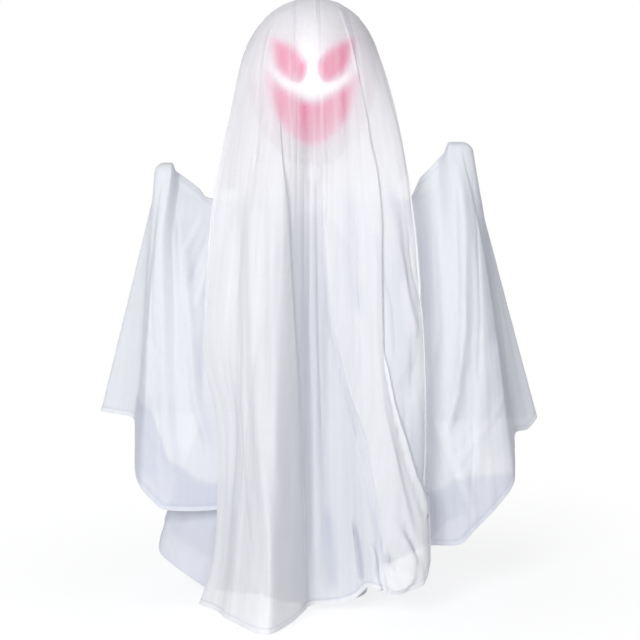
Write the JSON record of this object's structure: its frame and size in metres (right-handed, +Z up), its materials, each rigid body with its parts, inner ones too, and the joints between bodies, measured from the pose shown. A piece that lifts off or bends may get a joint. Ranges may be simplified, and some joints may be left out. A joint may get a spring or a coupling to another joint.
{
  "type": "animated ghost figure",
  "caption": "Battery ghost figure: a glowing head with a pink face rises on a telescopic column under long sheer cloth, with raised sleeves and a round base.",
  "frame": {"origin": "centre of the base's flat underside, on the surface that the figure stands on", "axes": "+Z up along the column, -Y towards the front of the figure, +X to the figure's side on the right of the picture"},
  "size_m": [0.6636, 0.4759, 0.9137],
  "materials": {
    "white_moulding": "fine moulded grain",
    "grey_moulding": "fine moulded grain",
    "black_moulding": "satin",
    "dark_lens": "polished",
    "steel": "bright zinc",
    "tinned_steel": "tinned",
    "white_nylon": "waxy",
    "green_board": "solder mask",
    "cell_sleeve": "plain sleeve",
    "white_cord": "braided",
    "wire_cover": "soft cover",
    "glowing_shell": "milky, lit from inside",
    "pink_lens": "milky pink, lit from inside",
    "lamp_dome": "clear dome",
    "sheer_cloth": "sheer plain weave"
  },
  "bodies": {
    "base": {"base_shell": "white_moulding", "base_plate": "grey_moulding", "battery_door": "grey_moulding", "battery_tray": "black_moulding", "battery_1": "cell_sleeve", "battery_2": "cell_sleeve", "battery_3": "cell_sleeve", "contact_left": "tinned_steel", "contact_right": "tinned_steel", "base_screw_1": "steel", "base_screw_2": "steel", "base_screw_3": "steel", "base_screw_4": "steel", "door_screw": "steel", "sensor_window": "dark_lens", "switch_body": "black_moulding", "speaker": "black_moulding", "circuit_board": "green_board", "outer_tube": "steel", "tube_collar": "white_moulding", "top_bracket": "white_moulding", "pulley_pin": "steel", "winch_frame_left": "white_moulding", "winch_frame_right": "white_moulding", "gear_motor": "grey_moulding", "lift_cord": "white_cord"},
    "lift": {"inner_tube": "steel", "slider_foot": "black_moulding", "shoulder_block": "white_moulding", "arm_left": "wire_cover", "arm_right": "wire_cover", "hand_left": "white_moulding", "hand_right": "white_moulding", "head_plate": "white_moulding", "head_front": "glowing_shell", "head_back": "glowing_shell", "eye_left": "pink_lens", "eye_right": "pink_lens", "mouth": "pink_lens", "led_board": "green_board", "led_1": "lamp_dome", "led_2": "lamp_dome", "led_3": "lamp_dome", "veil": "sheer_cloth", "sleeve_left": "sheer_cloth", "sleeve_right": "sheer_cloth", "robe": "sheer_cloth"},
    "drum": {"winch_drum": "white_nylon", "drum_gear": "white_nylon", "drum_shaft": "steel", "cord_winding": "white_cord"},
    "motor_pinion": {"motor_pinion": "white_nylon"},
    "pulley": {"pulley": "white_nylon"},
    "switch_knob": {"power_switch_knob": "black_moulding"}
  },
  "joints": [
    {"name": "lift_slide", "type": "slide", "parent": "base", "child": "lift", "axis": [0, 0, 1], "range_m": [-0.25, 0], "deforming": ["veil", "robe", "sleeve_left", "sleeve_right", "lift_cord"]},
    {"name": "drum_spin", "type": "hinge", "parent": "base", "child": "drum", "pos_m": [0, 0.04, 0.067], "axis": [1, 0, 0], "range_deg": [-1433, 0]},
    {"name": "pinion_spin", "type": "hinge", "parent": "base", "child": "motor_pinion", "pos_m": [0, 0.06294, 0.08306], "axis": [1, 0, 0], "range_deg": [0, 4298]},
    {"name": "pulley_spin", "type": "hinge", "parent": "base", "child": "pulley", "pos_m": [0, 0.02125, 0.3142], "axis": [1, 0, 0], "range_deg": [0, 1638]},
    {"name": "switch_slide", "type": "slide", "parent": "base", "child": "switch_knob", "axis": [1, 0, 0], "range_m": [0, 0.004]}
  ],
  "couplings": [
    {"joint": "drum_spin", "follows": "lift_slide", "rad_per_m": 100},
    {"joint": "pinion_spin", "follows": "lift_slide", "rad_per_m": -300},
    {"joint": "pulley_spin", "follows": "lift_slide", "rad_per_m": -114.29}
  ]
}
